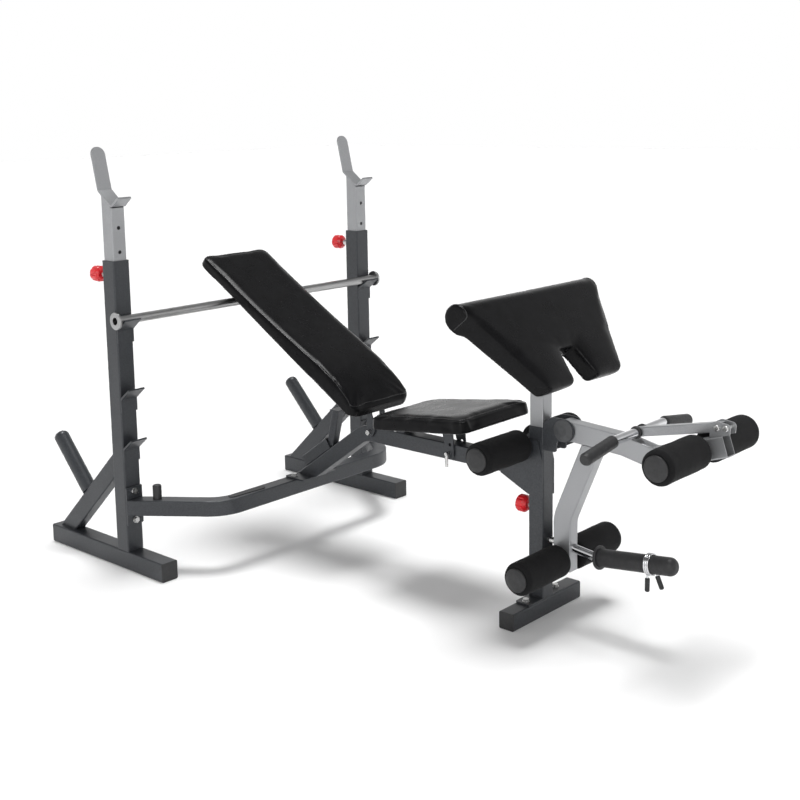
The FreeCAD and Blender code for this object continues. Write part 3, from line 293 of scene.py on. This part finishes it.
def finished_mesh(piece):
    """A copy of the piece's mesh as its modifiers leave it."""
    graph = bpy.context.evaluated_depsgraph_get()
    return bpy.data.meshes.new_from_object(piece.evaluated_get(graph))


def coordinates(mesh):
    flat = np.empty(len(mesh.vertices) * 3)
    mesh.vertices.foreach_get("co", flat)
    return flat.reshape(-1, 3)


def set_coordinates(mesh, points):
    mesh.vertices.foreach_set("co", points.ravel())
    mesh.update()


def joint(name):
    return next(found for found in frame["joints"] if found["name"] == name)


# ---- cushions ----------------------------------------------------------------------------------------

# Places and turns of the pads' own frames, as the CAD has them.
BACK_TILT = math.radians(32.2)
SEAT_TILT = math.radians(-7.5)
PREACHER_TILT = math.radians(48)
PREACHER_AXIS = (461.5 * MM, 0, 897 * MM)

# The backrest's hump over the small of the back: its height, and how far up the pad it peaks.
BACK_HUMP = 23 * MM
HUMP_PLACE = 0.2
HUMP_SHARPNESS = 1.6

# Stuffing: the grid of the cloth, the gap that it starts with inside the CAD outline, and the blow-up.
VOXEL = 5 * MM
START_GAP = 4 * MM
PRESSURE = 4
LAST_FRAME = 20

# Piping: the cord, its depth under a boxed face, how far from the ends that face's height is read, and
# where it runs round the end of the preacher pad's roll, in the pad's own frame.
PIPING_RADIUS = 1.6 * MM
SEAM_DEPTH = 6 * MM
EDGE = 25 * MM
ROLL_SEAM = 305 * MM
ROLL_LENGTH = 42 * MM
ROLL_UNDERSIDE = -34 * MM


def pad_place(origin, turn):
    """A pad's own frame: x along it, y across it and z out of its face."""
    return Matrix.Translation(origin) @ Matrix.Rotation(turn, 4, "Y")


class Cushion:
    """A stuffed pad that starts inside its CAD solid, a little smaller, and is blown up as cloth."""

    def __init__(self, node, body, place, swell, form, profile=None):
        self.name, self.node, self.body, self.place = body + "_cushion", node, body, place
        self.swell = swell
        solid = nodes[node].data.copy()
        solid.transform(place.inverted())
        self.piece = add_object(self.name, form(solid))
        remesh = self.piece.modifiers.new("even", "REMESH")
        remesh.mode = "VOXEL"
        remesh.voxel_size = VOXEL
        even = finished_mesh(self.piece)
        self.piece.modifiers.remove(remesh)
        relax(even, 2)
        self.start = coordinates(even)
        if profile:
            self.start[:, 2] = profile(self.start)
            set_coordinates(even, self.start)
        self.piece.data = even

    def add_cloth(self):
        """The underside is glued to its board, and the rest is free to swell."""
        glued = self.piece.vertex_groups.new(name="glued")
        under = np.flatnonzero(self.start[:, 2] < self.start[:, 2].min() + VOXEL / 2)
        glued.add(under.tolist(), 1, "REPLACE")
        cloth = self.piece.modifiers.new("stuffing", "CLOTH")
        cloth.settings.vertex_group_mass = glued.name
        cloth.settings.use_pressure = True
        cloth.settings.uniform_pressure_force = PRESSURE
        cloth.settings.effector_weights.gravity = 0
        cloth.settings.quality = 4
        cloth.collision_settings.use_collision = False

    def finish(self, simulated):
        """Keeps the swollen shape, with no point further from its start than the swell."""
        if simulated:
            swollen = coordinates(finished_mesh(self.piece))
            self.piece.modifiers.clear()
            self.piece.vertex_groups.clear()
            moved = swollen - self.start
            length = np.linalg.norm(moved, axis=1, keepdims=True)
            moved *= self.swell * np.tanh(length / self.swell) / np.maximum(length, 1e-9)
            set_coordinates(self.piece.data, self.start + moved)
        relax(self.piece.data, 3)
        smooth_all(self.piece.data)
        self.piece.data.materials.clear()
        self.piece.data.materials.append(FINISHES["vinyl"])
        self.piece.matrix_world = self.place
        subdivide(self.piece)
        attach(self.piece, self.body)
        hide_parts(self.node)


def boxed_form(corner, thickness):
    """Makes a start for a boxed cushion: a sharp-edged slab on the CAD solid's round-cornered plan."""
    def form(solid):
        points = coordinates(solid)
        low, high = points.min(0) + START_GAP, points.max(0) - START_GAP
        middle = (low[0] + high[0]) / 2
        halves = [np.abs(points[side, 1]).max() - START_GAP
                  for side in (points[:, 0] < middle, points[:, 0] > middle)]
        base, top = points[:, 2].min(), points[:, 2].min() + thickness
        arcs = ((low[0] + corner, corner - halves[0], 180), (high[0] - corner, corner - halves[1], 270),
                (high[0] - corner, halves[1] - corner, 0), (low[0] + corner, halves[0] - corner, 90))
        slab = bmesh.new()
        rim = []
        for x, y, first in arcs:
            for step in range(9):
                turn = math.radians(first + 90 * step / 8)
                rim.append(slab.verts.new((x + corner * math.cos(turn), y + corner * math.sin(turn), base)))
        face = slab.faces.new(rim)
        lifted = bmesh.ops.extrude_face_region(slab, geom=[face])["geom"]
        for vertex in (v for v in lifted if isinstance(v, bmesh.types.BMVert)):
            vertex.co.z = top
        bmesh.ops.recalc_face_normals(slab, faces=slab.faces)
        mesh = bpy.data.meshes.new("slab")
        slab.to_mesh(mesh)
        slab.free()
        return mesh
    return form


def copied_form(solid):
    """The CAD solid itself, drawn in a little all round its outline."""
    points = coordinates(solid)
    middle, half = (points.min(0) + points.max(0)) / 2, (points.max(0) - points.min(0)) / 2
    points[:, :2] = middle[:2] + (points - middle)[:, :2] * (1 - START_GAP / half[:2])
    set_coordinates(solid, points)
    return solid


def relax(mesh, rounds):
    """Moves every point halfway to the middle of its neighbours, so that voxel steps disappear."""
    edges = np.empty(len(mesh.edges) * 2, int)
    mesh.edges.foreach_get("vertices", edges)
    first, second = edges.reshape(-1, 2).T
    points = coordinates(mesh)
    count = np.bincount(edges, minlength=len(points))[:, None]
    for _ in range(rounds):
        total = np.zeros_like(points)
        np.add.at(total, first, points[second])
        np.add.at(total, second, points[first])
        points = (points + total / count) / 2
    set_coordinates(mesh, points)


def contour(mesh, level, wanted=lambda point: True):
    """The lines on a mesh along which level(point) is zero, each an ordered list of points."""
    form = bmesh.new()
    form.from_mesh(mesh)
    value = [level(v.co) for v in form.verts]
    crossing = {}
    for edge in form.edges:
        a, b = edge.verts
        if (value[a.index] < 0) != (value[b.index] < 0):
            point = a.co.lerp(b.co, value[a.index] / (value[a.index] - value[b.index]))
            if wanted(point):
                crossing[edge.index] = point
    beside = {index: [] for index in crossing}
    for face in form.faces:
        cut = [e.index for e in face.edges if e.index in crossing]
        if len(cut) == 2:
            beside[cut[0]].append(cut[1])
            beside[cut[1]].append(cut[0])
    form.free()
    lines, seen = [], set()
    for start in sorted(beside, key=lambda index: (len(beside[index]), index)):
        if start in seen:
            continue
        line, here = [], start
        while here is not None:
            seen.add(here)
            line.append(crossing[here])
            here = next((n for n in beside[here] if n not in seen), None)
        lines.append((line, len(beside[start]) == 2))
    return lines


def piping(name, cushion, lines):
    """A cord sewn into the cushion's seam, which follows the lines found on its surface."""
    curve = bpy.data.curves.new(name, "CURVE")
    curve.dimensions = "3D"
    curve.bevel_depth = PIPING_RADIUS
    curve.bevel_resolution = 3
    curve.resolution_u = 3
    for line, closed in lines:
        if len(line) < 12:
            continue
        points = line[::3]
        spline = curve.splines.new("NURBS")
        spline.points.add(len(points) - 1)
        for held, point in zip(spline.points, points):
            held.co = (*point, 1)
        spline.order_u = 4
        spline.use_cyclic_u = closed
        spline.use_endpoint_u = not closed
    curve.materials.append(THREAD)
    made = add_object(name, curve, cushion.place)
    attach(made, cushion.body)
    return made


def back_top(x, low, high):
    """The backrest's face: highest at the small of the back, and falling away to both its ends."""
    place = np.clip((high - x) / (high - low), 0, 1) / HUMP_PLACE
    return BACK_HUMP * (place * np.exp(1 - place)) ** HUMP_SHARPNESS


def back_profile(points):
    x, z = points[:, 0], points[:, 2]
    share = (z - z.min()) / (z.max() - z.min())
    return z + share * back_top(x, x.min(), x.max())


def face_seam(cushion):
    """The line round a boxed cushion just under its face, which rises and falls with the face."""
    points = coordinates(cushion.piece.data)
    keys = np.linspace(points[:, 0].min() + EDGE, points[:, 0].max() - EDGE, 50)
    inner = np.abs(points[:, 1]) < 40 * MM
    tops = [points[inner & (np.abs(points[:, 0] - key) < 8 * MM), 2].max() for key in keys]
    return contour(cushion.piece.data, lambda p: p.z + SEAM_DEPTH - np.interp(p.x, keys, tops))


def roll_seams(cushion):
    """The lines round both ends of the preacher pad's roll, where the end disc is sewn in."""
    lines = []
    for side in (-1, 1):
        lines += contour(cushion.piece.data, lambda p: p.y * side - ROLL_SEAM,
                         lambda p: p.x < ROLL_LENGTH and p.z > ROLL_UNDERSIDE)
    return lines


def make_cushions():
    back = Cushion("backrest_pad", "backrest", pad_place(joint("backrest_tilt")["pos_m"], BACK_TILT),
                   5 * MM, boxed_form(34 * MM, 33 * MM), back_profile)
    seat = Cushion("seat_pad", "seat", pad_place(joint("seat_tilt")["pos_m"], SEAT_TILT),
                   9 * MM, boxed_form(38 * MM, 38 * MM))
    preacher = Cushion("curl_pad", "preacher", pad_place(PREACHER_AXIS, PREACHER_TILT),
                       5 * MM, copied_form)
    cushions = (back, seat, preacher)
    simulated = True
    if simulated:
        for cushion in cushions:
            cushion.add_cloth()
        for number in range(1, LAST_FRAME + 1):
            scene.frame_set(number)
    for cushion in cushions:
        cushion.finish(simulated)
    if simulated:
        scene.frame_set(1)
    for cushion in (back, seat):
        piping(cushion.body + "_piping", cushion, face_seam(cushion))
    piping("preacher_piping", preacher, roll_seams(preacher))


# ---- foam rollers ------------------------------------------------------------------------------------

FOAM_AROUND = 96
FOAM_ALONG = 14
FOAM_CORNER_STEPS = 8
FOAM_BORE = 12.8 * MM
FOAM_LIP = 3 * MM
FOAM_ROUNDING = 13 * MM
FOAM_SINKS = {"bore": 2.2 * MM, "lip": 0.8 * MM, "face": 0.6 * MM}
FOAM_LUMPS = ((22, 0.9 * MM), (75, 0.35 * MM))
FOAM_SHRINK = 0.8 * MM
FOAM_FADE = 10 * MM


def foam_profile(half, radius):
    """Half of a roller's outline as (distance from its end, radius), from the bore out."""
    lip, corner = FOAM_BORE + FOAM_LIP, radius - FOAM_ROUNDING
    outline = [(FOAM_SINKS["bore"], FOAM_BORE), (FOAM_SINKS["lip"], lip)]
    outline += [(FOAM_SINKS["face"] * share, lip + (corner - lip) * (1 - share))
                for share in (0.8, 0.5, 0.2)]
    for step in range(FOAM_CORNER_STEPS + 1):
        turn = math.pi / 2 * step / FOAM_CORNER_STEPS
        outline.append((FOAM_ROUNDING * (1 - math.cos(turn)),
                        radius - FOAM_ROUNDING * (1 - math.sin(turn))))
    for step in range(1, FOAM_ALONG + 1):
        outline.append((FOAM_ROUNDING + (half - FOAM_ROUNDING) * step / FOAM_ALONG, radius))
    return outline


def foam_roller(name, node, body):
    """A foam tube turned from its outline, with a slow unevenness that fades out towards the bore."""
    low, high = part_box(node)
    middle, half = (low + high) / 2, (high.y - low.y) / 2
    radius = (high.x - low.x) / 2
    near = foam_profile(half, radius)
    rings = [(-half + along, r) for along, r in near]
    rings += [(half - along, r) for along, r in reversed(near[:-1])]
    form = bmesh.new()
    loops = []
    for y, r in rings:
        loop = []
        for step in range(FOAM_AROUND):
            turn = 2 * math.pi * step / FOAM_AROUND
            out = Vector((math.cos(turn), 0, math.sin(turn)))
            point = middle + out * r + Vector((0, y, 0))
            lumps = sum(noise.noise(point * rate) * height for rate, height in FOAM_LUMPS)
            point += out * (lumps - FOAM_SHRINK) * min(1, (r - FOAM_BORE) / FOAM_FADE)
            loop.append(form.verts.new(point))
        loops.append(loop)
    for first, second in zip(loops, loops[1:] + loops[:1]):
        for step in range(FOAM_AROUND):
            after = (step + 1) % FOAM_AROUND
            form.faces.new((first[step], first[after], second[after], second[step]))
    bmesh.ops.recalc_face_normals(form, faces=form.faces)
    mesh = bpy.data.meshes.new(name)
    form.to_mesh(mesh)
    form.free()
    smooth_all(mesh)
    mesh.materials.append(FINISHES["foam"])
    made = add_object(name, mesh)
    subdivide(made)
    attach(made, body)
    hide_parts(node)


# ---- studio ------------------------------------------------------------------------------------------

FLOOR_SIZE = 60
FLOOR_GAP = 0.3 * MM
SUN_PLACE = (-0.12, 0.3, 3)
SUN_POWER = 2.7
SUN_WIDTH = math.radians(24)
ROOM_LIGHT = 1.15
CAMERA_PLACE = (2.5076, -2.806, 1.4491)
CAMERA_HEADING = math.radians(42.95)
CAMERA_PITCH = math.radians(80.94)
CAMERA_ROLL = math.radians(-1.13)
CAMERA_LENS = 56.28

def aim(piece, target):
    piece.rotation_euler = (Vector(target) - piece.location).to_track_quat("-Z", "Y").to_euler()


def area_light(name, place, target, width, power):
    lamp = bpy.data.lights.new(name, "AREA")
    lamp.shape = "DISK"
    lamp.size = width
    lamp.energy = power
    made = add_object(name, lamp)
    made.location = place
    aim(made, target)


def make_studio():
    form = bmesh.new()
    bmesh.ops.create_grid(form, x_segments=2, y_segments=2, size=FLOOR_SIZE / 2)
    mesh = bpy.data.meshes.new("floor")
    form.to_mesh(mesh)
    form.free()
    floor = add_object("floor", mesh)
    floor.location.z = cad_low.z - FLOOR_GAP
    paper = Finish("paper", Roughness=0.85)
    paper.colours(paper.clouds(1.5), (0.3, (0.9, 0.9, 0.9)), (0.7, (0.92, 0.92, 0.92)))
    mesh.materials.append(paper.material)
    make_world()
    sun = bpy.data.lights.new("key", "SUN")
    sun.energy = SUN_POWER
    sun.angle = SUN_WIDTH
    key = add_object("key", sun)
    key.location = SUN_PLACE
    aim(key, (0, 0, 0))
    area_light("fill", (2.6, -3.2, 2.4), (0.1, 0, 0.5), 2.2, 38)


def make_world():
    """A white surround that the camera sees, and a softer, dimmer room that lights the object."""
    world = bpy.data.worlds.new("studio")
    world.use_nodes = True
    tree = world.node_tree
    room = tree.nodes["Background"]
    room.inputs["Strength"].default_value = ROOM_LIGHT
    height = tree.nodes.new("ShaderNodeSeparateXYZ")
    tree.links.new(tree.nodes.new("ShaderNodeTexCoord").outputs["Generated"], height.inputs["Vector"])
    fade = tree.nodes.new("ShaderNodeValToRGB")
    for element, (place, level) in zip(fade.color_ramp.elements, ((0.05, 1), (0.8, 0.12))):
        element.position = place
        element.color = (level, level, level, 1)
    tree.links.new(height.outputs["Z"], fade.inputs["Fac"])
    tree.links.new(fade.outputs["Color"], room.inputs["Color"])
    surround = tree.nodes.new("ShaderNodeBackground")
    surround.inputs["Color"].default_value = (1, 1, 1, 1)
    surround.inputs["Strength"].default_value = 1
    mixed = tree.nodes.new("ShaderNodeMixShader")
    tree.links.new(tree.nodes.new("ShaderNodeLightPath").outputs["Is Camera Ray"], mixed.inputs["Fac"])
    tree.links.new(room.outputs["Background"], mixed.inputs[1])
    tree.links.new(surround.outputs["Background"], mixed.inputs[2])
    tree.links.new(mixed.outputs["Shader"], tree.nodes["World Output"].inputs["Surface"])
    scene.world = world
    scene.view_settings.view_transform = "Standard"


def make_camera():
    lens = bpy.data.cameras.new("camera")
    lens.lens = CAMERA_LENS
    lens.sensor_width = 36
    lens.shift_x = 0.03
    lens.shift_y = -0.12
    lens.clip_end = 200
    turned = Matrix.Rotation(CAMERA_HEADING, 4, "Z") @ Matrix.Rotation(CAMERA_PITCH, 4, "X")
    turned = turned @ Matrix.Rotation(CAMERA_ROLL, 4, "Z")
    camera = add_object("camera", lens, Matrix.Translation(CAMERA_PLACE) @ turned)
    scene.camera = camera


make_cushions()
for pair in ("hold", "lower", "forward"):
    for side in ("right", "left"):
        foam_roller(f"{pair}_roller_{side}_foam", f"{pair}_foam_{side}", f"{pair}_roller_{side}")
make_studio()
make_camera()
